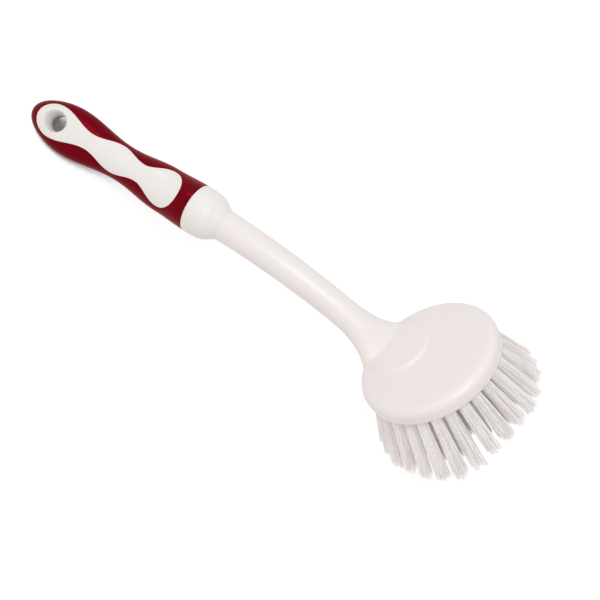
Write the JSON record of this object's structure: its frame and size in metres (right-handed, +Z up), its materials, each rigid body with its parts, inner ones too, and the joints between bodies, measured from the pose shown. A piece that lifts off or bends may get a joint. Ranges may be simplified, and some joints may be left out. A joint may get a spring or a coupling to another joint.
{
  "type": "dish brush",
  "caption": "Long-handled dish brush: round head of splayed bristle tufts on a curved shaft, plugged into a two-tone grip with a soft sleeve, an inlay and a hang hole.",
  "frame": {"origin": "middle of the bounding box's base, on the table that the brush lies on", "axes": "+X runs along the brush from the hang hole to the head, +Z is up from the table, +Y is to the left when looking towards the head"},
  "size_m": [0.273, 0.0804, 0.0757],
  "materials": {
    "white_moulding": "smooth satin white",
    "white_handle": "smooth satin white, a little warmer",
    "crimson_rubber": "soft satin crimson",
    "white_bristle": "translucent white filament"
  },
  "bodies": {
    "root": {"grip_sleeve": "crimson_rubber", "handle_core": "white_handle", "head_moulding": "white_moulding", "tuft_outer_01": "white_bristle", "tuft_outer_02": "white_bristle", "tuft_outer_03": "white_bristle", "tuft_outer_04": "white_bristle", "tuft_outer_05": "white_bristle", "tuft_outer_06": "white_bristle", "tuft_outer_07": "white_bristle", "tuft_outer_08": "white_bristle", "tuft_outer_09": "white_bristle", "tuft_outer_10": "white_bristle", "tuft_outer_11": "white_bristle", "tuft_outer_12": "white_bristle", "tuft_outer_13": "white_bristle", "tuft_outer_14": "white_bristle", "tuft_outer_15": "white_bristle", "tuft_outer_16": "white_bristle", "tuft_outer_17": "white_bristle", "tuft_outer_18": "white_bristle", "tuft_outer_19": "white_bristle", "tuft_outer_20": "white_bristle", "tuft_outer_21": "white_bristle", "tuft_outer_22": "white_bristle", "tuft_outer_23": "white_bristle", "tuft_outer_24": "white_bristle", "tuft_outer_25": "white_bristle", "tuft_outer_26": "white_bristle", "tuft_outer_27": "white_bristle", "tuft_middle_01": "white_bristle", "tuft_middle_02": "white_bristle", "tuft_middle_03": "white_bristle", "tuft_middle_04": "white_bristle", "tuft_middle_05": "white_bristle", "tuft_middle_06": "white_bristle", "tuft_middle_07": "white_bristle", "tuft_middle_08": "white_bristle", "tuft_middle_09": "white_bristle", "tuft_middle_10": "white_bristle", "tuft_middle_11": "white_bristle", "tuft_middle_12": "white_bristle", "tuft_middle_13": "white_bristle", "tuft_middle_14": "white_bristle", "tuft_middle_15": "white_bristle", "tuft_inner_01": "white_bristle", "tuft_inner_02": "white_bristle", "tuft_inner_03": "white_bristle", "tuft_inner_04": "white_bristle", "tuft_inner_05": "white_bristle", "tuft_inner_06": "white_bristle", "tuft_inner_07": "white_bristle", "tuft_inner_08": "white_bristle", "tuft_inner_09": "white_bristle", "tuft_centre_01": "white_bristle", "tuft_centre_02": "white_bristle", "tuft_centre_03": "white_bristle"}
  },
  "joints": []
}
